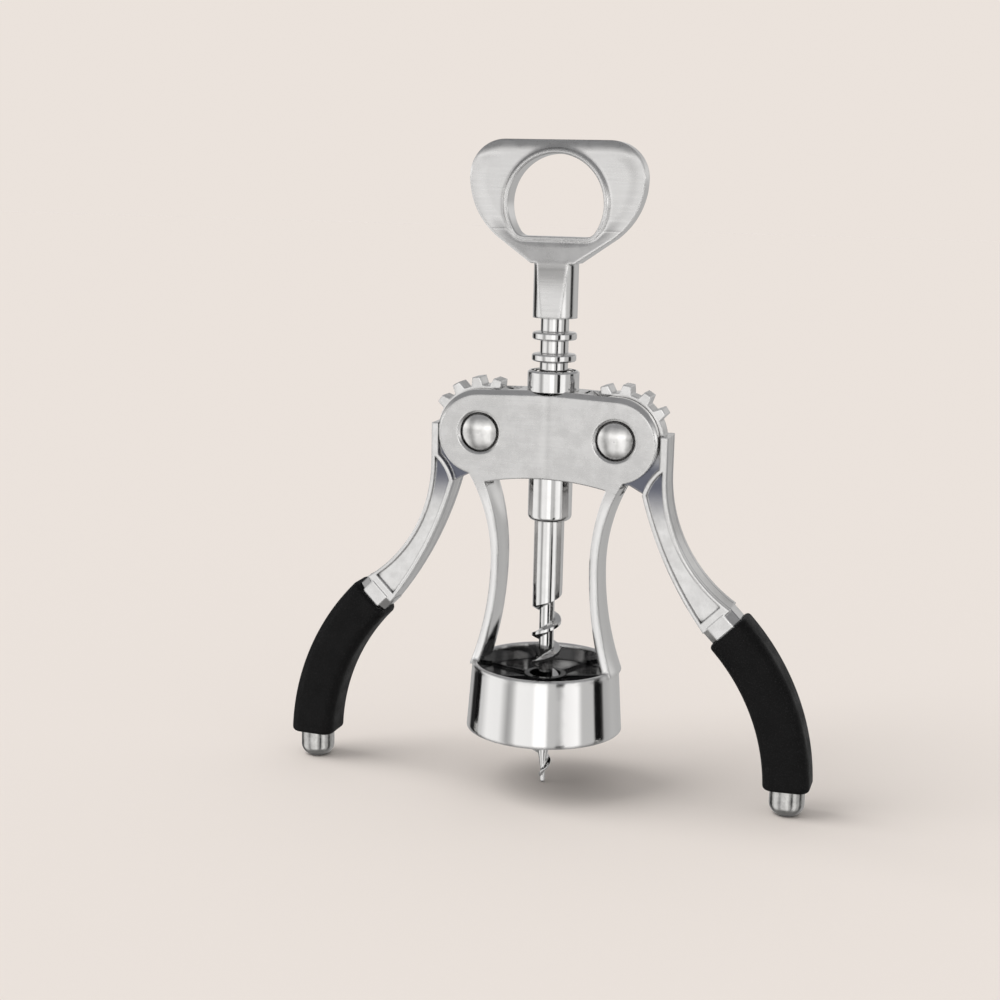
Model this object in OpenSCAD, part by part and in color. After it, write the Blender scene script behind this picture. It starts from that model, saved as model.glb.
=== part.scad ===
// Wing corkscrew, standing on its two lever ends and the tip of its worm.
// Z is the screw's axis, Z = 0 is the bell's lower rim, and the levers spread along X.

/* [Frame head] */
// Half the distance between the two lever pivots
pivot_x = 19.4; // [18.5:0.1:20.5]
// Height of the lever pivots above the bell's rim
pivot_z = 84.45; // [80:0.05:90]
// Radius of the round lobe about each pivot
lobe_r = 11.9; // [11:0.1:12.3]
// Thickness of the frame from front to back
frame_t = 13; // [12:0.1:15]
// Height of the head's peak, which carries the collar, above the pivots
deck_rise = 12.65; // [12.2:0.05:14]
// Depth of the bevel along the top, which fades out round the lobes
bevel_y = 1.1; // [0.4:0.1:1.8]
// Width of that bevel in the frame's face
bevel_z = 1.4; // [0.5:0.1:2]
// Height of the window's arched top, below the pivots
arch_drop = 11.85; // [10.5:0.05:13]
// Rise of the window's arched top
arch_rise = 2.2; // [1:0.1:4]
// Radius of the fillet between each lobe and its leg
web_fillet_r = 14; // [10:0.5:15]

/* [Frame legs] */
// Height of the legs' waist above the bell's rim
waist_z = 48; // [40:1:55]
// Radius from the screw's axis to the outside of the legs, at the waist
waist_r = 16.3; // [14.5:0.1:18]
// Thickness of the legs at the waist
leg_t = 2; // [1.6:0.1:3]
// Radius to the outside of the legs, at the window's top corners
leg_head_r = 21.6; // [20:0.1:23]
// Thickness of the legs at the window's top corners
leg_head_t = 3.1; // [2:0.1:4]
// Depth of the legs from front to back, at the waist
waist_depth = 10.8; // [8:0.1:12]
// How far the legs' feet stand outside the bell's wall, at its top
foot_proud = 0.3; // [0.2:0.05:0.7]
// Thickness of the legs at the bell's top
foot_t = 2.4; // [2:0.1:3]
// Overlap of the legs' feet on the outside of the bell
foot_lap = 1.2; // [1:0.1:3]

/* [Bell] */
// Outer radius of the bell at its lower rim
bell_r = 22.2; // [21:0.1:24]
// Outer radius of the bell at its top
bell_top_r = 20.9; // [20:0.1:22]
// Height of the bell
bell_h = 18.85; // [16:0.05:24]
// Thickness of the bell's wall
bell_wall = 1.5; // [1.2:0.1:2]
// Radius of the rounded lip round the bell's top
lip_r = 0.6; // [0.3:0.1:0.7]
// How far the lip stands proud of the bell's wall
lip_proud = 0.15; // [0:0.05:0.5]

/* [Bell liner] */
// Thickness of the liner's skirt and web
liner_wall = 1.3; // [1:0.1:2]
// Depth of the liner's web below the bell's top
liner_drop = 5; // [4:0.1:8]
// Height of the liner's skirt above the bell's lower rim
skirt_z = 1; // [0.5:0.1:3]
// Radius of the hub round the worm's guide hole
hub_r = 6; // [5.5:0.1:8]
// Height of the hub above the web
hub_h = 1.6; // [1:0.1:2.5]
// Number of ribs on the web
liner_ribs = 8; // [4:1:12]
// Thickness of each rib
rib_t = 1; // [0.8:0.1:1.5]

/* [Collar] */
// Outer radius of the collar
collar_r = 7.2; // [7:0.1:8]
// Height of the collar above the deck
collar_h = 5.2; // [3:0.1:8]
// Depth of the collar's seat in the deck
collar_seat = 0.5; // [0.3:0.1:3]

/* [Rivets] */
// Radius of the pivot rivets
rivet_r = 3; // [2.5:0.1:3.5]
// Radius of the rivets' domed heads
rivet_head_r = 4.9; // [4.5:0.1:5.2]
// Height of the rivets' domes
rivet_dome = 1.1; // [0.6:0.1:1.6]
// Depth of the recess round each head
recess_depth = 1.6; // [0.8:0.1:2]
// Gap round each head
recess_gap = 0.55; // [0.2:0.05:0.8]
// Chamfer round each recess
recess_chamfer = 0.75; // [0.3:0.05:1]
// Height of the cylinder under each dome
rivet_edge = 0.9; // [0.4:0.1:1.2]

/* [Gear and rack] */
// Teeth that a full circle of the gear would have
gear_teeth = 15; // [14:1:16]
// Radius of the gear's pitch circle
gear_r = 14.235; // [13.8:0.005:14.4]
// Height of the teeth above the pitch circle
tooth_tip = 0.95; // [0.7:0.05:1.1]
// Depth of the gaps below the pitch circle
tooth_root = 1.35; // [1.2:0.05:1.6]
// Width of a tooth at the pitch circle
tooth_w = 2.7; // [2.2:0.05:2.9]
// Narrowing of a tooth from its root to its tip
tooth_taper = 1; // [0.4:0.1:1.4]
// Thickness of the gear from front to back
gear_t = 6; // [4:0.1:8]
// Number of teeth on each lever
lever_teeth = 8; // [7:1:8]
// Outer radius of the rack's rings
rack_r = 6.15; // [5.9:0.05:6.3]
// Radius of the rack between its rings
rack_neck_r = 3.9; // [3.5:0.05:4.1]
// Thickness of a ring at its edge
ring_t = 2; // [1.4:0.05:2.2]
// Thickening of a ring towards the neck
ring_taper = 0.5; // [0:0.1:0.8]
// Number of rings
rack_rings = 7; // [7:1:7]
// Chamfer round the rings' edges
ring_chamfer = 0.35; // [0.2:0.05:0.6]
// Length of the rack's plain lower end, below the lowest ring
rack_tail = 15.8; // [10:0.1:20]
// Radius of that end's rounded edge
tail_edge_r = 1.5; // [0.5:0.1:2]

/* [Lever arms] */
// Thickness of the arms from front to back
arm_t = 10; // [9:0.1:12]
// Outer side of the arm's straight wall, from the pivot
arm_out = 14.3; // [14:0.1:15.5]
// Thickness of the arm's straight wall
arm_wall = 1.9; // [1.5:0.1:2]
// Height of the wall's squared end above the pivot
wall_rise = 1.75; // [0.5:0.05:2.5]
// Height below the pivot where the arm's outer side begins to curve
curve_drop = 9.55; // [7:0.05:12]
// Radius of the arm's outer side
arm_out_r = 41.5; // [38:0.5:46]
// Radius of the arm's inner side
arm_in_r = 107; // [90:1:130]
// Radius of the arm's rounded nose
nose_r = 13.5; // [12:0.5:15]
// Height of the straight wall below the pivot, where the nose starts
nose_drop = 6.5; // [5:0.1:8]
// Distance of the nose's lower corner from the screw's axis
nose_x = 27.3; // [26:0.1:29]
// Height of the nose's lower corner
nose_z = 69.8; // [68:0.1:71]
// Width of the arm where it meets the block, on its inner side
arm_in_w = 4.8; // [4:0.1:5]
// Angle from the vertical at which the web leaves the gear
web_lean = 14; // [8:1:25]
// Angle that a lever is raised through at most
raise_max = 112; // [100:1:112]
// Depth of the panels in the arm's faces
panel_depth = 1.1; // [0.5:0.1:1.8]
// Width of the rim round each panel
panel_rim = 1; // [0.6:0.1:1.6]
// Width and depth of the block where the arm enters its grip
ferrule_w = 10.4; // [9:0.1:12]
// Height of that block
ferrule_h = 4.4; // [3:0.1:6]
// Chamfer along the block's corners
ferrule_chamfer = 2.2; // [1:0.1:3]
// Radius of the tang inside the grip
tang_r = 3; // [2:0.1:4]

/* [Grips] */
// Radius of the curve that a grip follows
grip_bend_r = 62.9; // [58:0.1:68]
// Distance of the curve's centre from the screw's axis
bend_x = 7.5; // [5:0.1:10]
// Height of the curve's centre
bend_z = -11; // [-14:0.1:-8]
// Angle of the grip's lower end on its curve
grip_low = 1.3; // [0.5:0.1:3]
// Angle of the grip's upper end on its curve
grip_high = 45; // [43:0.1:47]
// Width of the grip
grip_w = 13; // [12:0.1:15]
// Depth of the grip from front to back
grip_t = 13; // [12:0.1:15]
// Radius of the grip's long edges
grip_edge_r = 3.2; // [1.5:0.1:5]
// Radius of the end caps
cap_r = 4.9; // [4:0.1:5.5]
// Radius of the end caps' rounded foot
cap_round = 3.2; // [2:0.1:3.8]
// Depth of an end cap's spigot in the grip
spigot_h = 5; // [3:0.1:6]

/* [Screw] */
// Height of the surface that the tip and the end caps stand on
floor_z = -17.4; // [-20:0.1:-15]
// Radius of the shank and of the worm's blade
shank_r = 4.2; // [4:0.05:4.4]
// Radius of the spindle inside the rack
spindle_r = 2.5; // [2:0.05:2.6]
// Height at which the shank's lower end, which winds up like the blade, is halfway
shank_z = 37.3; // [34:0.1:42]
// Direction in which the shank's end is at that height, from the X axis
shank_turn = -73; // [-180:1:180]
// Radius of the worm's core
core_r = 2.1; // [1.6:0.05:2.4]
// Rise of the worm's blade in one turn
worm_pitch = 8.5; // [7:0.1:9.5]
// Length of the tapered point
point_h = 13; // [8:0.5:18]
// Radius of the point's rounded end
point_r = 0.7; // [0.4:0.05:1]
// Half the angle that the blade takes up round the core
blade_half = 52; // [45:1:80]
// Angle over which the blade's flank falls to the core
blade_flank = 34; // [20:1:45]
// Angle over which the groove beside the blade runs out at the shank
groove_fade = 50; // [30:5:90]

/* [Opener] */
// Height of the opener's stem
stem_h = 14.8; // [13:0.1:18]
// Half width of the opener's head
head_half_w = 24.5; // [22:0.1:27]
// Height of the head above its stem
head_h = 33; // [31.5:0.1:36]
// Radius of the head's upper corners
head_corner_r = 10; // [8:0.5:12]
// Radius of the head's lower corners
head_lower_r = 20; // [18:0.5:21]
// Angle at which the head's lower corner leaves its arc for the stem
head_lean = 53; // [45:1:60]
// Thickness of the head
head_t = 5; // [4:0.1:6]
// Height over which the stem's depth thins to that of the head
stem_fade = 9; // [5:0.5:12]
// Radius of the hole
hole_r = 13.4; // [12.5:0.1:14]
// Height of the hole's centre above the stem
hole_rise = 15.9; // [15:0.1:17]
// Distance from the hole's centre to its flat edge
hole_flat = 8.7; // [7.5:0.1:10]
// Radius of the corners at the ends of the flat edge
hole_corner = 3; // [2:0.1:4]
// Width of the flared rim round the hole
hole_rim = 2.4; // [1.8:0.1:2.6]
// Height of the rim above the face
rim_rise = 0.9; // [0.4:0.1:1.2]
// Radius of the rim's rounded edge
rim_edge_r = 0.6; // [0.4:0.1:0.8]
// Depth of the stem at its top
stem_top_t = 8.9; // [7:0.1:10]
// Depth of the stem at its bottom
stem_low_t = 11.2; // [10.5:0.1:12]
// Depth of the spindle's socket in the stem
socket_h = 10; // [8:0.5:14]

/* [Fits] */
// Radial clearance of a running fit
run_gap = 0.07; // [0.03:0.01:0.1]
// Clearance between pieces that are pressed or seated together
seat_gap = 0.03; // [0.02:0.01:0.05]
// Clearance of the gear and the arms in the frame's slots
slot_gap = 0.25; // [0.15:0.05:0.3]

/* [Hidden] */
$fn = 72;
big_fn = 360;
tiny = 0.01;
// How far a shape runs into the one that it is joined to, and a cut past the end of what it cuts.
sink = 1;

deck_z = pivot_z + deck_rise;
arch_z = pivot_z - arch_drop;
corner_z = arch_z - arch_rise;
tip_r = gear_r + tooth_tip;
root_r = gear_r - tooth_root;
rack_pitch = 2 * PI * gear_r / gear_teeth;
tooth_step = 360 / gear_teeth;

// The rack stands so that one gap faces each pivot, a little above it.
mesh_rise = 0.515;
ring_z0 = pivot_z + mesh_rise - 1.5 * rack_pitch;
tooth_phase = mesh_rise / gear_r * 180 / PI;
rack_low_z = ring_z0 - rack_tail;
stem_z = ring_z0 + rack_rings * rack_pitch - ring_t / 2;
head_z = stem_z + stem_h;

// Height that a curve climbs while it bows out by dx, as the radius of that curve.
function bow_r(dx, dz) = (dx * dx + dz * dz) / (2 * dx);

// Where two circles meet, on the left of the line from a to b.
function meet(a, ra, b, rb) =
    let (d = norm(b - a), t = (d * d + ra * ra - rb * rb) / (2 * d), u = (b - a) / d)
    a + t * u + sqrt(ra * ra - t * t) * [-u[1], u[0]];

// Stands a front-view outline up and gives it a depth, centred on the XZ plane.
module slab(depth) {
    translate([0, depth / 2, 0]) rotate([90, 0, 0]) linear_extrude(depth) children();
}

// Turns a profile about the Y axis through the pivot on one side.
module about_pivot(side = 1) {
    translate([side * pivot_x, 0, pivot_z]) rotate([90, 0, 0]) children();
}

module rounded_rect(size, r) {
    square([size[0] - 2 * r, size[1]], center = true);
    square([size[0], size[1] - 2 * r], center = true);
    for (x = [-1, 1], y = [-1, 1])
        translate([x * (size[0] / 2 - r), y * (size[1] / 2 - r)]) circle(r);
}

// ---------------------------------------------------------------- frame

head_rise = corner_z - waist_z;
foot_fall = waist_z - bell_h;
foot_r = bell_top_r + foot_proud;
pivot = [pivot_x, pivot_z];

// Radius to the outside of the bell's wall at a height.
function bell_out(z) = bell_r - (bell_r - bell_top_r) * z / (bell_h - lip_r);

// The leg's outer edge in the frame's front face, at the corner of the window.
face_r = sqrt(leg_head_r * leg_head_r - frame_t * frame_t / 4);
face_waist = sqrt(waist_r * waist_r - frame_t * frame_t / 4);
side_r = bow_r(face_r - face_waist, head_rise);
side_c = [face_waist + side_r, waist_z];
fillet_c = meet(side_c, side_r - web_fillet_r, pivot, lobe_r + web_fillet_r);
side_end = side_c + (fillet_c - side_c) * side_r / (side_r - web_fillet_r);

// The head's top falls in a straight line from its peak to where it touches each lobe.
top_run = sqrt(pow(norm([pivot_x, deck_rise]), 2) - lobe_r * lobe_r);
top_lean = atan2(deck_rise, pivot_x) - atan2(lobe_r, top_run);
top_up = [sin(top_lean), cos(top_lean)];

// The bevel is a cone about each lobe, with a plane that touches it along the top. The cone is set
// below the lobe's centre by as much as lets it fade out before the fillet to the leg.
fade_share = 0.92;
fillet_dir = (fillet_c - pivot) / norm(fillet_c - pivot);
cone_share = -fade_share * top_up * fillet_dir;
cone_drop = bevel_z / (1 + cone_share);
cone_r = lobe_r - cone_drop * cone_share;

module head_half_outline() {
    translate(pivot) circle(lobe_r);
    difference() {
        polygon([[0, corner_z - 3 * sink], [side_end[0] - leg_t, corner_z - 3 * sink], side_end, fillet_c,
                 pivot, pivot + lobe_r * top_up, [0, deck_z]]);
        translate(fillet_c) circle(web_fillet_r, $fn = big_fn);
        translate(side_c) circle(side_r, $fn = big_fn);
    }
}

module window_arch() {
    arch_r = bow_r(arch_rise, leg_head_r - leg_head_t);
    translate([0, arch_z - arch_r]) circle(arch_r, $fn = big_fn);
}

module head() {
    slab(frame_t) difference() {
        union() {
            head_half_outline();
            mirror([1, 0]) head_half_outline();
        }
        window_arch();
    }
}

// Everything outside a bow that touches radius r0 at the waist and reaches r0 + dx at dz.
module bow_disc(r0, dx, dz) {
    translate([r0 + bow_r(dx, dz), waist_z]) circle(bow_r(dx, dz), $fn = big_fn);
}

module leg_profile() {
    in_r = waist_r - leg_t;
    intersection() {
        difference() {
            bow_disc(in_r, leg_head_r - leg_head_t - in_r, head_rise);
            bow_disc(waist_r, leg_head_r - waist_r, head_rise);
        }
        translate([0, waist_z]) square([leg_head_r + leg_head_t, head_rise + sink]);
    }
    lap_z = bell_h - foot_lap;
    intersection() {
        difference() {
            bow_disc(in_r, foot_r - foot_t - in_r, foot_fall);
            bow_disc(waist_r, foot_r - waist_r, foot_fall);
        }
        translate([0, lap_z]) square([bell_r + leg_t, foot_fall + foot_lap]);
    }
}

module legs() {
    waist_cut_r = bow_r((frame_t - waist_depth) / 2, (corner_z - bell_h) / 2);
    difference() {
        intersection() {
            rotate_extrude() leg_profile();
            cube([4 * bell_r, frame_t, 4 * pivot_z], center = true);
        }
        for (side = [-1, 1])
            translate([0, side * (waist_depth / 2 + waist_cut_r), (corner_z + bell_h) / 2])
                rotate([0, 90, 0]) cylinder(r = waist_cut_r, h = 3 * bell_r, center = true, $fn = big_fn);
    }
}

module bell() {
    lip_z = bell_h - lip_r;
    lip_in = bell_top_r - bell_wall + lip_r;
    lip_out = bell_top_r + lip_proud - lip_r;
    rotate_extrude() {
        polygon([[bell_r - bell_wall, 0], [bell_r, 0], [bell_top_r, lip_z], [bell_top_r - bell_wall, lip_z]]);
        translate([lip_in, lip_z]) square([lip_out - lip_in, lip_r]);
        translate([lip_in, lip_z]) circle(lip_r, $fn = 36);
        translate([lip_out, lip_z]) circle(lip_r, $fn = 36);
    }
}

// What the bevel takes off half of the head's front. Each line starts past the face and ends past the edge.
// The plane stays a hair outside the cone, so that the two meet in a clean step.
module bevel_cut() {
    face = frame_t / 2;
    start = bevel_z * (1 + sink / bevel_y);
    hair = 2 * tiny;
    translate([0, 0, deck_z]) rotate([0, top_lean, 0]) rotate([90, 0, 90]) translate([0, hair, -sink])
        linear_extrude(top_run + sink)
            polygon([[-face - sink, -start], [-face - sink, bevel_z], [2 * bevel_y - face, bevel_z]]);
    about_pivot() intersection() {
        translate([-cone_drop * top_up[0], -cone_drop * top_up[1], 0]) rotate_extrude($fn = big_fn)
            polygon([[cone_r + bevel_z - start, face + sink], [cone_r + 2 * bevel_z, face - 2 * bevel_y],
                     [cone_r + 2 * bevel_z, face + sink]]);
        linear_extrude(frame_t)
            polygon([[0, 0], 2 * lobe_r * top_up, [4 * lobe_r, 2 * lobe_r],
                     [4 * lobe_r, 2 * lobe_r * fillet_dir[1]], 2 * lobe_r * fillet_dir]);
    }
}

// The slot that a lever's gear turns in, with the rivet's hole and the recess for its heads.
module pivot_cuts() {
    head_gap_r = rivet_head_r + recess_gap;
    about_pivot() {
        cylinder(r = tip_r + 2 * slot_gap, h = gear_t + 2 * slot_gap, center = true);
        cylinder(r = rivet_r + seat_gap, h = 2 * frame_t, center = true);
        for (end = [0, 1]) mirror([0, 0, end]) {
            translate([0, 0, frame_t / 2 - recess_depth]) cylinder(r = head_gap_r, h = recess_depth + sink);
            translate([0, 0, frame_t / 2 - recess_chamfer])
                cylinder(r1 = head_gap_r, r2 = head_gap_r + recess_chamfer + tiny, h = recess_chamfer + tiny);
        }
    }
}

// The pocket behind each face of the head that a lever's wall enters when the lever is fully raised.
module raise_pocket() {
    wall_in = arm_out - arm_wall;
    far_r = norm([arm_out, wall_rise]) + slot_gap;
    end = raise_max + atan2(wall_rise + slot_gap, wall_in);
    translate([pivot_x, 0, pivot_z]) slab(arm_t + 2 * slot_gap) intersection() {
        difference() {
            circle(far_r);
            circle(wall_in - slot_gap);
        }
        polygon([[0, 0], [0, 2 * far_r], 2 * far_r * [cos(end), sin(end)]]);
    }
}

module frame() {
    color("silver") difference() {
        union() {
            head();
            legs();
            bell();
        }
        for (left = [0, 1]) mirror([left, 0, 0]) {
            pivot_cuts();
            raise_pocket();
            for (back = [0, 1]) mirror([0, back, 0]) bevel_cut();
        }
        translate([0, 0, corner_z]) cylinder(r = rack_r + 2 * run_gap, h = deck_z);
        translate([0, 0, deck_z - collar_seat]) cylinder(r = collar_r, h = collar_seat + sink);
    }
}

// ---------------------------------------------------------------- bell liner

function bell_in(z) = bell_out(z) - bell_wall;

module bell_liner() {
    web_z = bell_h - liner_drop;
    rim_r = bell_in(web_z) - seat_gap;
    skirt_r = bell_in(skirt_z) - seat_gap;
    color("dimgray") difference() {
        union() {
            rotate_extrude()
                polygon([[skirt_r - liner_wall, skirt_z], [skirt_r, skirt_z], [rim_r, web_z],
                         [hub_r, web_z], [hub_r, web_z + hub_h], [0, web_z + hub_h],
                         [0, web_z - liner_wall - hub_h], [hub_r, web_z - liner_wall - hub_h],
                         [hub_r, web_z - liner_wall], [rim_r - liner_wall, web_z - liner_wall]]);
            for (i = [0 : liner_ribs - 1])
                rotate([0, 0, (i + 0.5) * 360 / liner_ribs])
                    translate([hub_r - sink, -rib_t / 2, web_z - liner_wall / 2])
                        cube([rim_r - liner_wall / 2 - hub_r + sink, rib_t, (liner_wall + hub_h) / 2]);
        }
        cylinder(r = shank_r + 4 * run_gap, h = 2 * bell_h);
    }
}

// ---------------------------------------------------------------- collar

module collar() {
    chamfer = 0.5;
    bore = rack_r + run_gap;
    low = deck_z - collar_seat;
    top = deck_z + collar_h;
    color("gainsboro") rotate_extrude()
        polygon([[bore, low], [collar_r - seat_gap, low], [collar_r - seat_gap, top - chamfer],
                 [collar_r - seat_gap - chamfer, top], [bore, top]]);
}

// ---------------------------------------------------------------- rivets

module dome_profile() {
    seat = frame_t / 2 - recess_depth;
    dome_r = bow_r(rivet_dome, rivet_head_r);
    top = seat + rivet_edge + rivet_dome;
    intersection() {
        translate([0, seat]) square([rivet_head_r, rivet_edge + rivet_dome]);
        translate([0, top - dome_r]) circle(dome_r, $fn = big_fn);
    }
}

module rivet(side) {
    color("whitesmoke") about_pivot(side) {
        cylinder(r = rivet_r, h = frame_t - 2 * recess_depth + tiny, center = true);
        for (end = [0, 1]) mirror([0, 0, end]) rotate_extrude() dome_profile();
    }
}

module left_rivet() {
    rivet(-1);
}

module right_rivet() {
    rivet(1);
}

// ---------------------------------------------------------------- levers

wall_x = pivot_x + arm_out;
curve_z = pivot_z - curve_drop;
grip_dir = [cos(grip_high), sin(grip_high)];
bend_c = [bend_x, bend_z];
grip_top = bend_c + grip_bend_r * grip_dir;
arm_in_end = grip_top - arm_in_w * grip_dir + ferrule_h * [-grip_dir[1], grip_dir[0]];
arm_in_c = meet([nose_x, nose_z], arm_in_r, arm_in_end, arm_in_r);
// The arm ends this far above its grip, inside the block.
arm_foot = ferrule_h - sink / 2;
// The nose runs from the straight wall down to the corner of the arm's inner side.
nose_top = [wall_x - arm_wall / 2, pivot_z - nose_drop];
nose_c = meet(nose_top, nose_r, [nose_x, nose_z], nose_r);

// The arm seen from the front, drawn in by an inset for the panel in its face.
module arm_outline(inset = 0) {
    foot = grip_top + (arm_foot + 2.5 * inset) * [-grip_dir[1], grip_dir[0]];
    reach = 2 * ferrule_w * grip_dir;
    difference() {
        intersection() {
            translate(arm_in_c) circle(arm_in_r - inset, $fn = big_fn);
            union() {
                translate(nose_c) circle(nose_r - inset);
                polygon([foot - reach, foot + reach, [wall_x + sink, nose_z - 2 * sink],
                         [nose_x - 4 * sink, nose_z - 2 * sink]]);
            }
        }
        translate([wall_x + arm_out_r, curve_z]) circle(arm_out_r + inset, $fn = big_fn);
        translate([wall_x - inset, curve_z]) square([arm_out_r, arm_out_r]);
    }
}

module tooth_outline() {
    root_w = tooth_w + tooth_taper / 2;
    tip_w = tooth_w - tooth_taper / 2;
    intersection() {
        polygon([[root_r - sink, -root_w / 2], [root_r, -root_w / 2], [tip_r + tiny, -tip_w / 2],
                 [tip_r + tiny, tip_w / 2], [root_r, root_w / 2], [root_r - sink, root_w / 2]]);
        circle(tip_r);
    }
}

// The gear and the web that joins it to the arm, with its teeth towards the rack.
module gear_outline() {
    translate(pivot) circle(root_r);
    for (i = [0 : lever_teeth - 1])
        translate(pivot) rotate(180 - tooth_phase - (i - 1) * tooth_step) tooth_outline();
    polygon([pivot, [wall_x - arm_wall / 2, pivot_z + wall_rise - sink], [wall_x - arm_wall / 2, curve_z],
             [wall_x - 2 * arm_wall, nose_z - 4 * sink], [nose_x + sink, nose_z - sink / 2],
             pivot + (root_r - sink / 2) * [sin(web_lean), -cos(web_lean)]]);
}

module ferrule() {
    half = ferrule_w / 2;
    cut = half - ferrule_chamfer;
    translate([grip_top[0], 0, grip_top[1]]) rotate([0, -grip_high, 0])
        linear_extrude(ferrule_h)
            polygon([[-half, -cut], [-cut, -half], [cut, -half], [half, -cut],
                     [half, cut], [cut, half], [-cut, half], [-half, cut]]);
}

// Part of the grip's curve, with a section drawn about it.
module along_bend(from, to) {
    translate([bend_x, 0, bend_z]) rotate([90, 0, 0]) rotate([0, 0, from])
        rotate_extrude(angle = to - from, $fn = 180) translate([grip_bend_r, 0]) children();
}

// The cap's top clears the grip's slanted end on its low, inner side.
cap_top_z = bend_z + (grip_bend_r - cap_r) * sin(grip_low) - seat_gap;
spigot_end = grip_low + spigot_h / grip_bend_r * 180 / PI;

module lever() {
    color("lightgray") difference() {
        union() {
            slab(gear_t) gear_outline();
            slab(arm_t) {
                arm_outline();
                translate([wall_x - arm_wall, curve_z]) square([arm_wall, curve_drop + wall_rise]);
            }
            ferrule();
            along_bend(spigot_end, grip_high + 1) circle(tang_r, $fn = 36);
        }
        about_pivot() cylinder(r = rivet_r + run_gap, h = 2 * frame_t, center = true);
        for (side = [-1, 1])
            translate([0, side * (arm_t / 2 + sink), 0])
                slab(2 * (panel_depth + sink)) arm_outline(panel_rim);
    }
}

module left_lever() {
    mirror([1, 0, 0]) lever();
}

module right_lever() {
    lever();
}

// ---------------------------------------------------------------- grips and end caps

module grip() {
    color("black") difference() {
        along_bend(grip_low, grip_high) rounded_rect([grip_w, grip_t], grip_edge_r);
        along_bend(grip_low - 1, grip_high + 1) circle(tang_r + seat_gap, $fn = 36);
    }
}

module left_grip() {
    mirror([1, 0, 0]) grip();
}

module right_grip() {
    grip();
}

module end_cap() {
    cap_x = bend_x + grip_bend_r * cos(grip_low);
    cap_h = cap_top_z - floor_z;
    color("silver") {
        translate([cap_x, 0, floor_z]) rotate_extrude() {
            square([cap_r - cap_round, cap_h]);
            translate([0, cap_round]) square([cap_r, cap_h - cap_round]);
            intersection() {
                translate([cap_r - cap_round, cap_round]) circle(cap_round);
                square(2 * cap_r);
            }
        }
        along_bend(grip_low - 0.3, spigot_end - 0.1) circle(tang_r, $fn = 36);
    }
}

module left_end_cap() {
    mirror([1, 0, 0]) end_cap();
}

module right_end_cap() {
    end_cap();
}

// ---------------------------------------------------------------- rack

module ring_profile(z) {
    root = ring_t + ring_taper;
    in_r = (spindle_r + rack_neck_r) / 2;
    edge = ring_t / 2;
    low = edge - ring_chamfer;
    out_r = rack_r - ring_chamfer;
    translate([0, z])
        polygon([[in_r, -root / 2], [rack_neck_r, -root / 2], [out_r, -edge], [rack_r, -low],
                 [rack_r, low], [out_r, edge], [rack_neck_r, root / 2], [in_r, root / 2]]);
}

module rack_sleeve() {
    bore = spindle_r + run_gap;
    top = stem_z - 2 * seat_gap;
    color("gainsboro") rotate_extrude() {
        difference() {
            union() {
                translate([bore, rack_low_z]) square([rack_neck_r - bore, top - rack_low_z]);
                translate([bore, rack_low_z + tail_edge_r]) square([rack_r - bore, rack_tail - tail_edge_r]);
                translate([bore, rack_low_z]) square([rack_r - tail_edge_r - bore, tail_edge_r]);
                translate([rack_r - tail_edge_r, rack_low_z + tail_edge_r]) circle(tail_edge_r);
                for (i = [0 : rack_rings - 1]) ring_profile(ring_z0 + i * rack_pitch);
            }
            translate([0, rack_low_z - sink]) square([bore, top - rack_low_z + 2 * sink]);
        }
    }
}

// ---------------------------------------------------------------- screw

worm_steps = 20;
slice_h = worm_pitch / worm_steps;
slices = ceil((shank_z + worm_pitch / 2 - floor_z) / slice_h) + 1;
worm_top = floor_z + slices * slice_h;
// The blade's edge stays this far inside the shank, which it runs into.
blade_r = shank_r - 0.03;
// How fast the blade gains on the core along the tapered point, and the flat part of the point's end.
blade_gain = 0.8;
flat_share = 0.04;

function ease(t) = let (u = min(1, max(0, t))) u * u * (3 - 2 * u);

// An angle brought between -180 and 180.
function half_turn(a) = (a % 360 + 540) % 360 - 180;

// How far out the blade stands at an angle from its middle: 1 on its edge, 0 on the core.
function blade(a) = ease((blade_half - abs(half_turn(a))) / blade_flank);

// How much of the last turn's groove is left out, at an angle below the shank's end and round it.
function run_out(below, round) =
    below < 0 ? 1 : below < 360 ? ease((round - 180 + groove_fade) / groove_fade) : 0;

// Radius of the worm at a height above the tip and an angle from the X axis.
function worm_r(h, a) =
    let (taper = min(1, h / point_h), edge = blade_r * pow(taper, blade_gain), core = core_r * taper,
         round = half_turn(a - shank_turn), below = round - 360 * (h + floor_z - shank_z) / worm_pitch,
         cap = min(1, h / point_r), bulge = cap * (2 - cap) * (1 - flat_share),
         end_r = point_r * sqrt(flat_share + bulge))
    max(end_r, core + (edge - core) * max(run_out(below, round), blade(below)));

function worm_ring(h) = [for (j = [0 : worm_steps - 1])
    let (a = j * 360 / worm_steps, r = worm_r(h, a))
    [r * cos(a), r * sin(a), floor_z + h]];

module worm() {
    n = worm_steps;
    points = [for (i = [0 : slices]) each worm_ring(slice_h * i)];
    sides = [for (i = [0 : slices - 1], j = [0 : n - 1])
        let (a = i * n + j, b = i * n + (j + 1) % n) each [[a, a + n, b + n], [a, b + n, b]]];
    ends = [[for (j = [0 : n - 1]) j], [for (j = [0 : n - 1]) slices * n + n - 1 - j]];
    polyhedron(points, faces = concat(sides, ends));
}

module screw() {
    shoulder = rack_low_z - 2 * seat_gap;
    top = stem_z + socket_h - seat_gap;
    color("whitesmoke") {
        worm();
        translate([0, 0, worm_top - sink]) cylinder(r = shank_r, h = shoulder - worm_top + sink);
        translate([0, 0, shoulder - sink]) cylinder(r = spindle_r, h = top - shoulder + sink);
    }
}

// ---------------------------------------------------------------- opener

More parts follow.
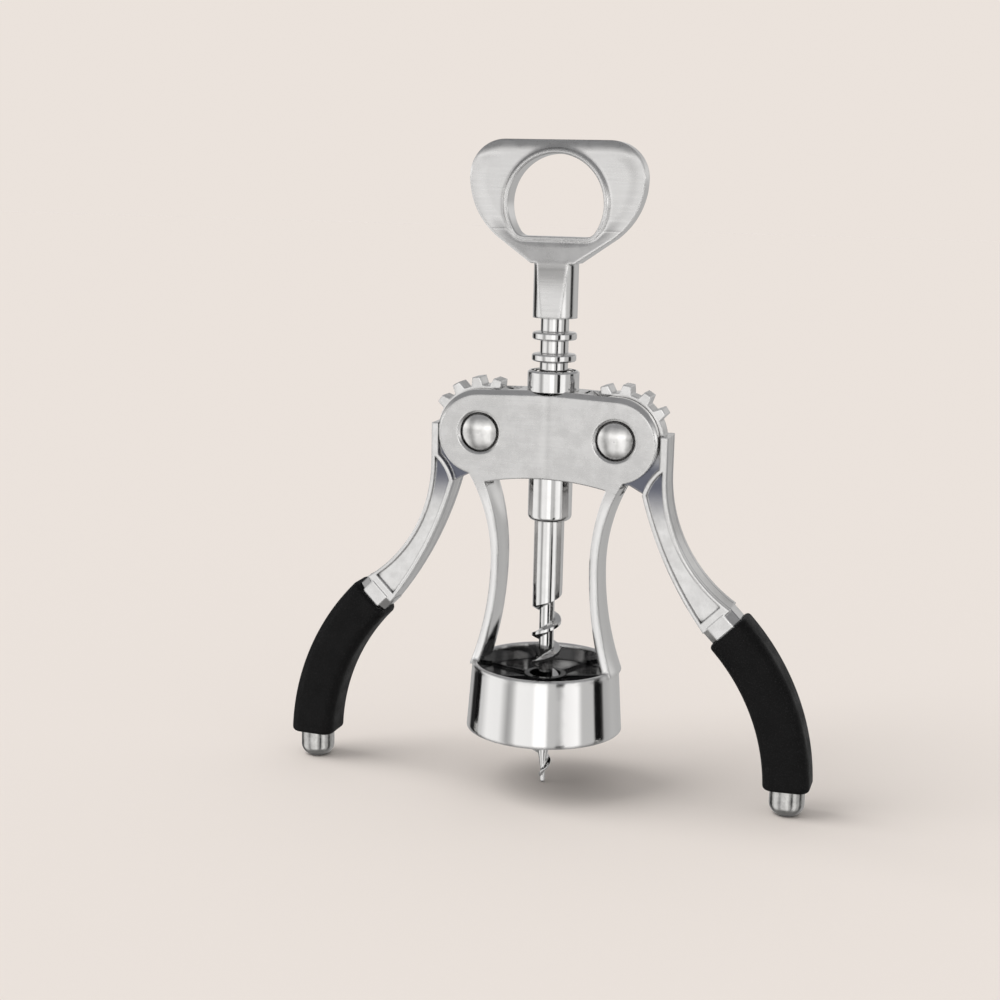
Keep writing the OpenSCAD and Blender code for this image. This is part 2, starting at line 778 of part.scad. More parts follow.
module opener_half_outline() {
    corner_x = head_half_w - head_corner_r;
    corner_y = head_z + head_h - head_corner_r;
    lower_x = head_half_w - head_lower_r;
    lower_end = [lower_x + head_lower_r * cos(head_lean), corner_y - head_lower_r * sin(head_lean)];
    translate([corner_x, corner_y]) circle(head_corner_r);
    intersection() {
        translate([lower_x, corner_y]) circle(head_lower_r, $fn = big_fn);
        translate([0, corner_y - head_lower_r]) square([head_half_w, head_lower_r]);
    }
    translate([0, corner_y - tiny]) square([corner_x, head_corner_r + tiny]);
    polygon([[0, head_z], [rack_r, head_z], lower_end, [0, corner_y]]);
}

module opener_outline() {
    opener_half_outline();
    mirror([1, 0]) opener_half_outline();
}

// Centre of the right-hand corner at the end of the hole's flat edge, from the hole's own centre.
corner_c = [sqrt(pow(hole_r - hole_corner, 2) - pow(hole_flat - hole_corner, 2)), hole_corner - hole_flat];
corner_turn = atan2(-corner_c[1], corner_c[0]);

// The hole seen from the front, grown all round.
module hole_outline(grow) {
    far = 2 * hole_r / norm(corner_c) * corner_c;
    flat_y = -hole_flat - grow;
    intersection() {
        circle(hole_r + grow, $fn = big_fn);
        polygon([[0, 0], far, [far[0], 2 * hole_r], [-far[0], 2 * hole_r], [-far[0], far[1]]]);
    }
    for (side = [-1, 1]) translate([side * corner_c[0], corner_c[1]]) circle(hole_corner + grow);
    polygon([[0, 0], corner_c, [corner_c[0], flat_y], [-corner_c[0], flat_y], [-corner_c[0], corner_c[1]]]);
}

// Half of the rim's section, from the hole's edge outwards: rounded over into the hole, flared to the face.
module rim_section() {
    face = head_t / 2;
    crest = face + rim_rise;
    flare_r = bow_r(rim_rise, hole_rim - rim_edge_r);
    for (back = [0, 1]) mirror([0, back]) {
        square([hole_rim, face]);
        square([rim_edge_r, crest - rim_edge_r]);
        translate([rim_edge_r, crest - rim_edge_r]) circle(rim_edge_r, $fn = 36);
        difference() {
            translate([rim_edge_r, 0]) square([hole_rim - rim_edge_r, crest]);
            translate([hole_rim, face + flare_r]) circle(flare_r);
        }
    }
}

// The rim carried round the hole: its long arc, its two corners and its flat edge.
module hole_rims() {
    rotate([90, 0, 0]) {
        rotate([0, 0, -corner_turn]) rotate_extrude(angle = 180 + 2 * corner_turn, $fn = big_fn)
            translate([hole_r, 0]) rim_section();
        for (left = [0, 1]) mirror([left, 0, 0])
            translate([corner_c[0], corner_c[1], 0]) rotate([0, 0, -90])
                rotate_extrude(angle = 90 - corner_turn) translate([hole_corner, 0]) rim_section();
    }
    translate([0, 0, -hole_flat]) rotate([0, 90, 0])
        linear_extrude(2 * corner_c[0], center = true) rim_section();
}

// The stem's depth thins from the cylinder to the head, as seen from the side.
module stem_side() {
    low = stem_low_t / 2;
    mid = stem_top_t / 2;
    half = head_t / 2;
    fade_z = head_z + stem_fade;
    top_z = head_z + head_h + sink;
    polygon([[-low, stem_z], [low, stem_z], [mid, head_z], [half, fade_z], [half, top_z],
             [-half, top_z], [-half, fade_z], [-mid, head_z]]);
}

module opener() {
    hole_z = head_z + hole_rise;
    color("silver") difference() {
        union() {
            difference() {
                intersection() {
                    union() {
                        translate([0, 0, stem_z]) cylinder(r = rack_r, h = stem_h + 2 * sink);
                        slab(2 * rack_r) opener_outline();
                    }
                    rotate([90, 0, 90]) linear_extrude(3 * head_half_w, center = true) stem_side();
                }
                translate([0, 0, hole_z]) slab(4 * head_t) hole_outline(hole_rim / 2);
            }
            translate([0, 0, hole_z]) hole_rims();
        }
        translate([0, 0, stem_z - sink]) cylinder(r = spindle_r + seat_gap, h = socket_h + sink);
    }
}

frame();
bell_liner();
collar();
left_rivet();
right_rivet();
left_lever();
right_lever();
left_grip();
right_grip();
left_end_cap();
right_end_cap();
rack_sleeve();
screw();
opener();
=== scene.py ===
"""Looks of the wing corkscrew: finishes for its castings, rack and screw, and modelled grips."""
import math

import bpy
from mathutils import Matrix, Vector


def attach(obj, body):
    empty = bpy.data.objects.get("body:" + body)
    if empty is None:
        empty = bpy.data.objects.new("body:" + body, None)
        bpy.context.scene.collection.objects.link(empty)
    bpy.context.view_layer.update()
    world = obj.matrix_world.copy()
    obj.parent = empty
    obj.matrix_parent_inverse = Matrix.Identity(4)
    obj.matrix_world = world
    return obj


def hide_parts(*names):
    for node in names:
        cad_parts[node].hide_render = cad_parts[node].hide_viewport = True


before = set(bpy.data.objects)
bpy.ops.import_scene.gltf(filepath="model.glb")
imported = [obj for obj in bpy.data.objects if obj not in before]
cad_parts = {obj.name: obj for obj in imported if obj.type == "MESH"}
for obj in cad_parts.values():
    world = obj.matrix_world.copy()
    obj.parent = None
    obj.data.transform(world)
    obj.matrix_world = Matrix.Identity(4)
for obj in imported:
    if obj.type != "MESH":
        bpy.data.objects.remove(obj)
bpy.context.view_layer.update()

MM = 0.001


# ---------------------------------------------------------------- frame casting
# One die casting: slotted head, two bowed legs and the bell. The bell and the legs are polished
# and plated nearly to a mirror, and the flat faces of the head keep a satin, finely brushed skin.

satin_grey = (0.70, 0.695, 0.69)
mirror_grey = (0.88, 0.875, 0.87)
# Dark painted into the gaps as shade, with polishing paste, and painted as shade into the opener's scoop.
painted_shade_dark = (0.03, 0.029, 0.028)
gap_reach = 1.5 * MM

# Heights between which the bell's finish gives way to the legs', and the legs' to the head's.
bell_end, legs_start = 19.2 * MM, 23.5 * MM
legs_end, head_start = 62.0 * MM, 72.0 * MM
# How much of the satin the legs keep, and the head where it isn't flat.
legs_satin, head_side_satin = 0.15, 0.55
# Radius to which polishing has rounded the edges.
legs_edge, head_edge = 1.5 * MM, 0.7 * MM
satin_depth, mirror_depth = 0.012 * MM, 0.0008 * MM


def make_group(name, takes, gives):
    """An empty shader group with named inputs and outputs, and its two end nodes."""
    group = bpy.data.node_groups.new(name, "ShaderNodeTree")
    for label, start in takes.items():
        kind = "NodeSocketVector" if isinstance(start, tuple) else "NodeSocketFloat"
        group.interface.new_socket(label, in_out="INPUT", socket_type=kind).default_value = start
    for label, kind in gives.items():
        group.interface.new_socket(label, in_out="OUTPUT", socket_type=kind)
    return group, group.nodes.new("NodeGroupInput"), group.nodes.new("NodeGroupOutput")


def add(tree, kind, **values):
    """A node with its properties set, and its inputs set or linked by name or number."""
    node = tree.nodes.new(kind)
    sockets = values.pop("sockets", {})
    for key, value in values.items():
        setattr(node, key, value)
    for key, value in sockets.items():
        if isinstance(value, bpy.types.NodeSocket):
            tree.links.new(value, node.inputs[key])
        else:
            node.inputs[key].default_value = value
    return node


def calc(tree, operation, *values, clamp=False):
    """The output of a Math node."""
    return add(tree, "ShaderNodeMath", operation=operation, use_clamp=clamp,
               sockets=dict(enumerate(values))).outputs[0]


def vector_calc(tree, operation, *values):
    """The outputs of a Vector Math node, by name."""
    return add(tree, "ShaderNodeVectorMath", operation=operation, sockets=dict(enumerate(values))).outputs


def along(tree, vector, axis):
    """One of a vector's three parts."""
    return add(tree, "ShaderNodeSeparateXYZ", sockets={0: vector}).outputs[axis]


def fade(tree, value, low, high, to_low=0.0, to_high=1.0):
    """A value carried smoothly from one range to another."""
    return add(tree, "ShaderNodeMapRange", interpolation_type="SMOOTHSTEP",
               sockets={"Value": value, "From Min": low, "From Max": high,
                        "To Min": to_low, "To Max": to_high}).outputs["Result"]


def vary(tree, cloud, first=0.0, second=1.0, low=0.3, high=0.7):
    """A value that follows a noise from first to second, over the range where most of the noise lies."""
    return fade(tree, cloud, low, high, first, second)


def blend_values(tree, share, first, second):
    """The output of a value mix, from first to second."""
    return add(tree, "ShaderNodeMix", sockets={0: share, 2: first, 3: second}).outputs[0]


def blend_colours(tree, share, first, second):
    """The output of a colour mix, from first to second."""
    first, second = ((*colour, 1.0) if isinstance(colour, tuple) else colour for colour in (first, second))
    return add(tree, "ShaderNodeMix", data_type="RGBA", sockets={0: share, 6: first, 7: second}).outputs[2]


def dimmed(colour, share):
    """A share of a colour's brightness."""
    return tuple(share * part for part in colour)


def noise(tree, place, scale, detail=2.0, roughness=0.5):
    """Noise of a scale given in features per metre."""
    return add(tree, "ShaderNodeTexNoise",
               sockets={"Vector": place, "Scale": scale, "Detail": detail,
                        "Roughness": roughness}).outputs["Fac"]


def relief(tree, height, depth, **normal):
    """The normal of a surface with relief, on its own or on a given normal."""
    return add(tree, "ShaderNodeBump",
               sockets={"Strength": 1.0, "Distance": depth, "Height": height, **normal}).outputs[0]


def grain_group():
    """Cast and plated skin: pits of about 0.3 mm, clouds of a few millimetres, and rubbed marks."""
    tree, taken, given = make_group(
        "cast_skin", {"Pit scale": 3200.0, "Cloud scale": 260.0, "Rub": (60.0, 60.0, 1500.0)},
        {"Height": "NodeSocketFloat", "Clouds": "NodeSocketFloat", "Rubs": "NodeSocketFloat"})
    place = add(tree, "ShaderNodeTexCoord").outputs["Object"]
    pits = noise(tree, place, taken.outputs["Pit scale"], 3.0, 0.6)
    clouds = noise(tree, place, taken.outputs["Cloud scale"], 4.0, 0.62)
    stretched = vector_calc(tree, "MULTIPLY", place, taken.outputs["Rub"])["Vector"]
    rubs = noise(tree, stretched, 1.0, 3.0, 0.7)
    height = calc(tree, "ADD", calc(tree, "MULTIPLY", pits, 0.7), calc(tree, "MULTIPLY", rubs, 0.3))
    tree.links.new(height, given.inputs["Height"])
    tree.links.new(clouds, given.inputs["Clouds"])
    tree.links.new(rubs, given.inputs["Rubs"])
    return tree


def edge_group():
    """Softened edges: the normal of a rounded edge, and a mask that is 1 where the edge turns."""
    tree, taken, given = make_group(
        "soft_edge", {"Radius": 0.4 * MM},
        {"Normal": "NodeSocketVector", "Edge": "NodeSocketFloat"})
    turned = add(tree, "ShaderNodeBevel", samples=6, sockets={"Radius": taken.outputs["Radius"]}).outputs[0]
    straight = add(tree, "ShaderNodeNewGeometry").outputs["Normal"]
    same = vector_calc(tree, "DOT_PRODUCT", turned, straight)["Value"]
    tree.links.new(turned, given.inputs["Normal"])
    tree.links.new(fade(tree, same, 0.998, 0.94), given.inputs["Edge"])
    return tree


def crevice_group():
    """Polishing paste and painted shade where pieces meet: 1 deep in a gap, 0 on open faces."""
    tree, taken, given = make_group("crevice", {"Reach": gap_reach}, {"Paste and shade": "NodeSocketFloat"})
    openness = add(tree, "ShaderNodeAmbientOcclusion", samples=8,
                   sockets={"Distance": taken.outputs["Reach"]}).outputs["AO"]
    tree.links.new(fade(tree, openness, 0.2, 0.75, 1.0, 0.0), given.inputs["Paste and shade"])
    return tree


cast_skin = grain_group()
soft_edge = edge_group()
crevice = crevice_group()


def place_group(tree, group, **sockets):
    """A group placed in a material, with its inputs set or linked by name."""
    return add(tree, "ShaderNodeGroup", node_tree=group,
               sockets={key.replace("_", " "): value for key, value in sockets.items()})


def new_material(name):
    """A node-based material, with its tree and shader."""
    material = bpy.data.materials.new(name)
    material.use_nodes = True
    return material, material.node_tree, material.node_tree.nodes["Principled BSDF"]


def metal(name):
    """A bare metal material, with its tree and shader."""
    material, tree, shader = new_material(name)
    shader.inputs["Metallic"].default_value = 1.0
    return material, tree, shader


def put_on(tree, shader, colour, roughness, normal):
    """Colour, roughness and normal linked to a shader."""
    tree.links.new(colour, shader.inputs["Base Color"])
    tree.links.new(roughness, shader.inputs["Roughness"])
    tree.links.new(normal, shader.inputs["Normal"])


def finish_metal(tree, shader, colour, roughness, skin, depth, normal):
    """A cast skin's colour, roughness and relief put on a shader, with paste and painted shade darkening the
    gaps.
    """
    paste_and_shade = place_group(tree, crevice, Reach=gap_reach).outputs["Paste and shade"]
    put_on(tree, shader, blend_colours(tree, paste_and_shade, colour, painted_shade_dark), roughness,
           relief(tree, skin.outputs["Height"], depth, Normal=normal))


def casting_material():
    """Mirror plate on the bell, a trace of satin on the legs and satin on the head, worn off at edges."""
    material, tree, shader = metal("satin_casting")
    skin = place_group(tree, cast_skin, Pit_scale=3000.0, Cloud_scale=230.0)
    clouds, rubs = skin.outputs["Clouds"], skin.outputs["Rubs"]
    own = add(tree, "ShaderNodeTexCoord").outputs
    height = along(tree, own["Object"], "Z")
    flat = fade(tree, calc(tree, "ABSOLUTE", along(tree, own["Normal"], "Y")), 0.9, 0.985)
    in_head = fade(tree, height, legs_end, head_start)
    edge = place_group(tree, soft_edge, Radius=fade(tree, in_head, 0.0, 1.0, legs_edge, head_edge))
    unworn = calc(tree, "SUBTRACT", 1.0, edge.outputs["Edge"])
    legs_skin = calc(tree, "MULTIPLY", fade(tree, height, bell_end, legs_start), legs_satin)
    head_skin = calc(tree, "MULTIPLY", in_head, calc(tree, "MAXIMUM", flat, head_side_satin))
    satin = calc(tree, "MAXIMUM", legs_skin, head_skin, clamp=True)
    satin = calc(tree, "MULTIPLY", satin, unworn, clamp=True)
    clouded = blend_colours(tree, vary(tree, clouds), dimmed(satin_grey, 0.84), satin_grey)
    colour = blend_colours(tree, satin, mirror_grey, clouded)
    satin_rough = calc(tree, "ADD", vary(tree, clouds, 0.22, 0.34), vary(tree, rubs, -0.05, 0.06))
    mirror_rough = vary(tree, clouds, 0.045, 0.1, low=0.35)
    rough = blend_values(tree, satin, mirror_rough, satin_rough)
    depth = fade(tree, satin, 0.0, 1.0, mirror_depth, satin_depth)
    finish_metal(tree, shader, colour, rough, skin, depth, edge.outputs["Normal"])
    return material


def finish_nodes(material, *names):
    """Puts a material on CAD nodes, which stay as they are."""
    for name in names:
        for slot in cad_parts[name].material_slots:
            slot.material = material


finish_nodes(casting_material(), "frame")


# ---------------------------------------------------------------- bell liner
# A moulded insert of glossy black plastic in the bell, with low ribs and a hub that guides the worm.
# It is pushed in from below, so its skirt grips the bell's wall.

liner_black, liner_dust = (0.006, 0.006, 0.0065), (0.02, 0.019, 0.018)
liner_edge, ripple_depth = 0.4 * MM, 0.06 * MM


def liner_material():
    """Gloss with slow ripples from the mould, and a little dust."""
    material, tree, shader = new_material("black_plastic")
    shader.inputs["IOR"].default_value = 1.49
    place = add(tree, "ShaderNodeTexCoord").outputs["Object"]
    ripple = noise(tree, place, 180.0, 3.0)
    dust = fade(tree, noise(tree, place, 2600.0), 0.62, 0.78)
    edge = place_group(tree, soft_edge, Radius=liner_edge)
    put_on(tree, shader, blend_colours(tree, dust, liner_black, liner_dust), vary(tree, ripple, 0.12, 0.26),
           relief(tree, ripple, ripple_depth, Normal=edge.outputs["Normal"]))
    return material


finish_nodes(liner_material(), "bell_liner")


# ---------------------------------------------------------------- collar and rack
# Turned steel, polished and plated: the collar is pressed into the deck as a bush,
# and the ringed rack slides in it. Lathe marks run round them, too fine to dull the plate.

chrome_grey = (0.87, 0.865, 0.86)
lathe_rub = (25.0, 25.0, 5200.0)
lathe_edge, lathe_depth = 0.35 * MM, 0.0002 * MM


def polish(tree, shader, colour, shine, dull, depth, normal):
    """Polished metal from a lathe, its roughness clouded from shine to dull, with fine marks round Z."""
    skin = place_group(tree, cast_skin, Pit_scale=2400.0, Cloud_scale=320.0, Rub=lathe_rub)
    spread = dict(low=0.35, high=0.75)
    tint = blend_colours(tree, vary(tree, skin.outputs["Clouds"], **spread), colour, dimmed(colour, 0.95))
    rough = calc(tree, "ADD", vary(tree, skin.outputs["Clouds"], shine, dull, **spread),
                 vary(tree, skin.outputs["Rubs"], 0.0, 0.03, **spread))
    finish_metal(tree, shader, tint, rough, skin, depth, normal)


def chrome_material():
    """Plate without a tint, clear enough to mirror the room."""
    material, tree, shader = metal("polished_chrome")
    edge = place_group(tree, soft_edge, Radius=lathe_edge)
    polish(tree, shader, chrome_grey, 0.03, 0.07, lathe_depth, edge.outputs["Normal"])
    return material


finish_nodes(chrome_material(), "collar", "rack_sleeve")


# ---------------------------------------------------------------- pivot rivets
# Domed steel heads, tumbled to a soft satin, of the pins that the levers turn on. Each is seated
# in a round recess in the head's face, with a narrow gap round it that is dark with shadow.

rivet_dark, rivet_light = (0.7, 0.695, 0.685), (0.84, 0.835, 0.825)
rivet_rub, rivet_depth = (700.0, 60.0, 700.0), 0.006 * MM
small_edge = 0.3 * MM


def small_metal(name, dark, light, shine, dull, rub, depth):
    """Satin clouded from dark to light and from shine to dull, with marks as fine along each axis as rub."""
    material, tree, shader = metal(name)
    skin = place_group(tree, cast_skin, Pit_scale=2600.0, Cloud_scale=420.0, Rub=rub)
    edge = place_group(tree, soft_edge, Radius=small_edge)
    clouds = skin.outputs["Clouds"]
    tint = blend_colours(tree, vary(tree, clouds, low=0.32, high=0.72), dark, light)
    finish_metal(tree, shader, tint, vary(tree, clouds, shine, dull), skin, depth, edge.outputs["Normal"])
    return material


rivet_metal = small_metal("rivet_metal", rivet_dark, rivet_light, 0.14, 0.24, rivet_rub, rivet_depth)
finish_nodes(rivet_metal, "left_rivet", "right_rivet")


# ---------------------------------------------------------------- levers
# Two die castings with the gear sector, the panelled arm and the tang in one, tumbled and plated:
# bright edges, a finely pitted skin, and a painted dark blue reflection on the webs and panels' ends.

lever_dark, lever_light, painted_reflection_blue = (0.68, 0.675, 0.67), (0.80, 0.795, 0.79), (0.07, 0.078, 0.115)
lever_edge, lever_depth, painted_reflection_share = 0.8 * MM, 0.005 * MM, 0.9
# Distances from the middle plane over which the painted reflection comes in and goes out again.
# They take in the faces of the panels and the webs, and leave out the rims and walls, which stand proud.
panel_depths = [3.6 * MM, 3.8 * MM, 4.1 * MM, 4.3 * MM]
web_depths = [2.8 * MM, 2.9 * MM, 3.1 * MM, 3.2 * MM]
# Heights over which the painted reflection on the panels comes in, and that on the webs goes out.
panel_reflection_start, panel_reflection_full = 60.0 * MM, 73.0 * MM
web_reflection_end, web_reflection_gone = 76.0 * MM, 84.0 * MM


def band(tree, value, start, full, end, gone, most=1.0):
    """A mask that grows from start to full, and falls again from end to gone."""
    return calc(tree, "MULTIPLY", fade(tree, value, start, full), fade(tree, value, end, gone, most, 0.0))


def lever_material():
    """Bright plate, with a painted dark blue reflection on the web and the upper end of each panel."""
    material, tree, shader = metal("lever_casting")
    skin = place_group(tree, cast_skin, Pit_scale=3000.0, Cloud_scale=240.0, Rub=(300.0, 90.0, 300.0))
    clouds, rubs = skin.outputs["Clouds"], skin.outputs["Rubs"]
    edge = place_group(tree, soft_edge, Radius=lever_edge)
    place = add(tree, "ShaderNodeTexCoord").outputs["Object"]
    depth, height = calc(tree, "ABSOLUTE", along(tree, place, "Y")), along(tree, place, "Z")
    # Painted reflection: the panels' upper ends and the webs are tinted dark blue, as where they mirror
    # something dark.
    panel = calc(tree, "MULTIPLY", band(tree, depth, *panel_depths),
                 fade(tree, height, panel_reflection_start, panel_reflection_full))
    web = calc(tree, "MULTIPLY", band(tree, depth, *web_depths),
               fade(tree, height, web_reflection_end, web_reflection_gone, 1.0, 0.0))
    painted_reflection = calc(tree, "MULTIPLY", calc(tree, "MAXIMUM", panel, web), painted_reflection_share)
    tint = blend_colours(tree, vary(tree, clouds), lever_dark, lever_light)
    tint = blend_colours(tree, painted_reflection, tint, painted_reflection_blue)
    tint = blend_colours(tree, edge.outputs["Edge"], tint, mirror_grey)
    rough = calc(tree, "ADD", vary(tree, clouds, 0.10, 0.17), vary(tree, rubs, -0.02, 0.04))
    finish_metal(tree, shader, tint, rough, skin, lever_depth, edge.outputs["Normal"])
    return material


finish_nodes(lever_material(), "left_lever", "right_lever")


# ---------------------------------------------------------------- grips
# Soft black sleeves moulded round the tangs: a curved bar with rounded long edges and slightly
# rounded ends, in a matt, finely speckled skin. Each is held by its tang and the end cap below it.

grip_width, grip_edge, grip_end_edge = 13.0 * MM, 3.2 * MM, 1.1 * MM
grip_bend = 62.9 * MM
grip_bend_centre = Vector((7.5 * MM, 0.0, -11.0 * MM))
grip_start, grip_turn = math.radians(1.3), math.radians(43.7)
grip_steps, grip_edge_steps, grip_end_steps = 40, 8, 5
rubber_black, rubber_speck, speckle_depth = (0.0025, 0.0025, 0.0027), (0.03, 0.03, 0.032), 0.18 * MM


def grip_material():
    """Matt black with fine pale specks, a little shinier in patches."""
    material, tree, shader = new_material("soft_black")
    shader.inputs["Specular IOR Level"].default_value = 0.16
    place = add(tree, "ShaderNodeTexCoord").outputs["Object"]
    speckle = noise(tree, place, 3400.0, 2.0, 0.6)
    specks = fade(tree, speckle, 0.52, 0.8)
    patches = noise(tree, place, 170.0, 3.0)
    put_on(tree, shader, blend_colours(tree, specks, rubber_black, rubber_speck),
           vary(tree, patches, 0.42, 0.56), relief(tree, speckle, speckle_depth))
    return material


def in_edit(piece, *steps):
    """Runs mesh operators on what is selected in a piece, each with its own settings."""
    bpy.context.view_layer.objects.active = piece
    bpy.ops.object.mode_set(mode="EDIT")
    for operator, settings in steps:
        operator(**settings)
    bpy.ops.object.mode_set(mode="OBJECT")


every = (bpy.ops.mesh.select_all, dict(action="SELECT"))
nothing = (bpy.ops.mesh.select_all, dict(action="DESELECT"))
merged = (bpy.ops.mesh.remove_doubles, dict(threshold=0.001 * MM))
outwards = (bpy.ops.mesh.normals_make_consistent, dict(inside=False))

# The rounded square is spun round the tang's curve, and then the edges of its two ends are rounded.
bpy.ops.object.select_all(action="DESELECT")
start_place = grip_bend_centre + grip_bend * Vector((math.cos(grip_start), 0.0, math.sin(grip_start)))
bpy.ops.mesh.primitive_plane_add(size=grip_width, location=start_place, rotation=(0.0, -grip_start, 0.0))
right_sleeve = bpy.context.object
right_sleeve.name = "right_grip_sleeve"
bpy.ops.object.transform_apply(location=True, rotation=True, scale=True)
in_edit(right_sleeve, every,
        (bpy.ops.mesh.bevel, dict(affect="VERTICES", offset=grip_edge, offset_type="OFFSET",
                                  segments=grip_edge_steps)),
        every,
        (bpy.ops.mesh.spin, dict(steps=grip_steps, angle=grip_turn, center=grip_bend_centre,
                                 axis=(0.0, 1.0, 0.0))),
        every, merged, outwards, nothing)
ends = [face for face in right_sleeve.data.polygons if len(face.vertices) > 4]
end_edges = {pair for face in ends for pair in face.edge_keys}
for edge in right_sleeve.data.edges:
    edge.select = edge.key in end_edges
bpy.context.tool_settings.mesh_select_mode = (False, True, False)
in_edit(right_sleeve,
        (bpy.ops.mesh.bevel, dict(offset=grip_end_edge, offset_type="OFFSET", segments=grip_end_steps)))
bpy.ops.object.shade_smooth_by_angle(angle=math.radians(30.0))
right_sleeve.data.materials.clear()
right_sleeve.data.materials.append(grip_material())

bpy.ops.object.duplicate()
left_sleeve = bpy.context.object
left_sleeve.name = "left_grip_sleeve"
in_edit(left_sleeve, every,
        (bpy.ops.transform.resize, dict(value=(-1.0, 1.0, 1.0), center_override=(0.0, 0.0, 0.0))),
        outwards)
for sleeve, body, node in ((right_sleeve, "right_lever", "right_grip"),
                           (left_sleeve, "left_lever", "left_grip")):
    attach(sleeve, body)
    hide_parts(node)


# ---------------------------------------------------------------- end caps
# Domed metal feet, pressed into the lower end of each grip. They share the rivets' kind of
# finish, but are darker and a little duller, with fine level marks.

cap_dark, cap_light = (0.5, 0.495, 0.485), (0.68, 0.675, 0.66)
cap_rub, cap_depth = (40.0, 40.0, 3600.0), 0.004 * MM

cap_metal = small_metal("cap_metal", cap_dark, cap_light, 0.16, 0.26, cap_rub, cap_depth)
finish_nodes(cap_metal, "left_end_cap", "right_end_cap")


# ---------------------------------------------------------------- screw
# One piece of hardened steel, ground and polished: shank, worm and the spindle inside the rack.
# The grinding leaves the shank and the worm's outer edge truly round.

steel_grey = (0.82, 0.815, 0.81)
ground_radius, ground_depth = 4.05 * MM, 0.0003 * MM
# Least cosine between a ground face and the way out from the axis.
ground_facing = 0.92


def steel_material():
    """Polished steel. On the ground surfaces the normal points straight out from the screw's axis."""
    material, tree, shader = metal("polished_steel")
    own = add(tree, "ShaderNodeTexCoord").outputs
    across = vector_calc(tree, "MULTIPLY", own["Object"], (1.0, 1.0, 0.0))["Vector"]
    radius = vector_calc(tree, "LENGTH", across)["Value"]
    outward = vector_calc(tree, "NORMALIZE", across)["Vector"]
    facing = vector_calc(tree, "DOT_PRODUCT", own["Normal"], outward)["Value"]
    is_ground = calc(tree, "MULTIPLY", calc(tree, "GREATER_THAN", radius, ground_radius),
                     calc(tree, "GREATER_THAN", facing, ground_facing))
    outward = add(tree, "ShaderNodeVectorTransform", vector_type="NORMAL", convert_from="OBJECT",
                  convert_to="WORLD", sockets={0: outward}).outputs[0]
    edge = place_group(tree, soft_edge, Radius=lathe_edge)
    normal = add(tree, "ShaderNodeMix", data_type="VECTOR",
                 sockets={0: is_ground, 4: edge.outputs["Normal"], 5: outward}).outputs[1]
    polish(tree, shader, steel_grey, 0.04, 0.10, ground_depth, normal)
    return material


finish_nodes(steel_material(), "screw")


# ---------------------------------------------------------------- opener
# The handle casting, with a round hole and a flat lifting edge. Its faces are satin,
# and its edges, the rolled rim and the sides of the stem are polished.

head_top, head_half, corner_radius, flank_radius = 164.55 * MM, 24.5 * MM, 10.0 * MM, 20.0 * MM
opener_edge, opener_depth = 1.1 * MM, 0.010 * MM
# The faces sink from the outline inwards, and roll over below the top edge.
dish_start, dish_end, dish_depth = 1.2 * MM, 5.0 * MM, 0.3 * MM
brow_width, brow_slope = 5.0 * MM, 0.5
# The crease across the face, where the head thickens to the stem, is eased over this reach.
head_foot = 131.55 * MM
crease_height, crease_reach, crease_tilt = head_foot + 9.0 * MM, 3.5 * MM, 0.213
# The scoop's painted shade grows up the stem to just below the head's foot, and is gone just above it.
scoop_start, scoop_fade, scoop_shade = head_foot - 9.0 * MM, 1.5 * MM, 0.5


def outline_depth(tree, across, up):
    """How far inside the head's outline a point lies: two corner arcs above, two flank arcs below."""
    arcs = []
    for radius in (flank_radius, corner_radius):
        beyond = calc(tree, "MAXIMUM", calc(tree, "SUBTRACT", across, head_half - radius), 0.0)
        squares = calc(tree, "ADD", calc(tree, "POWER", beyond, 2.0), calc(tree, "POWER", up, 2.0))
        arcs.append(calc(tree, "SUBTRACT", radius, calc(tree, "SQRT", squares)))
    return blend_values(tree, calc(tree, "GREATER_THAN", up, 0.0), *arcs)


def opener_form(tree, across, height):
    """The height of the opener's faces over flat ones: a dish, a brow above it and an eased crease."""
    inside = outline_depth(tree, across, calc(tree, "SUBTRACT", height, head_top - corner_radius))
    dish = fade(tree, inside, dish_start, dish_end, 0.0, -dish_depth)
    above_brow = calc(tree, "MAXIMUM", calc(tree, "SUBTRACT", height, head_top - brow_width), 0.0)
    brow = calc(tree, "MULTIPLY", calc(tree, "POWER", above_brow, 2.0), -brow_slope / (2.0 * brow_width))
    off_crease = calc(tree, "ABSOLUTE", calc(tree, "SUBTRACT", height, crease_height))
    near_crease = calc(tree, "MAXIMUM", calc(tree, "SUBTRACT", crease_reach, off_crease), 0.0)
    fill = calc(tree, "MULTIPLY", calc(tree, "POWER", near_crease, 2.0), crease_tilt / (4.0 * crease_reach))
    return calc(tree, "ADD", calc(tree, "ADD", dish, brow), fill)


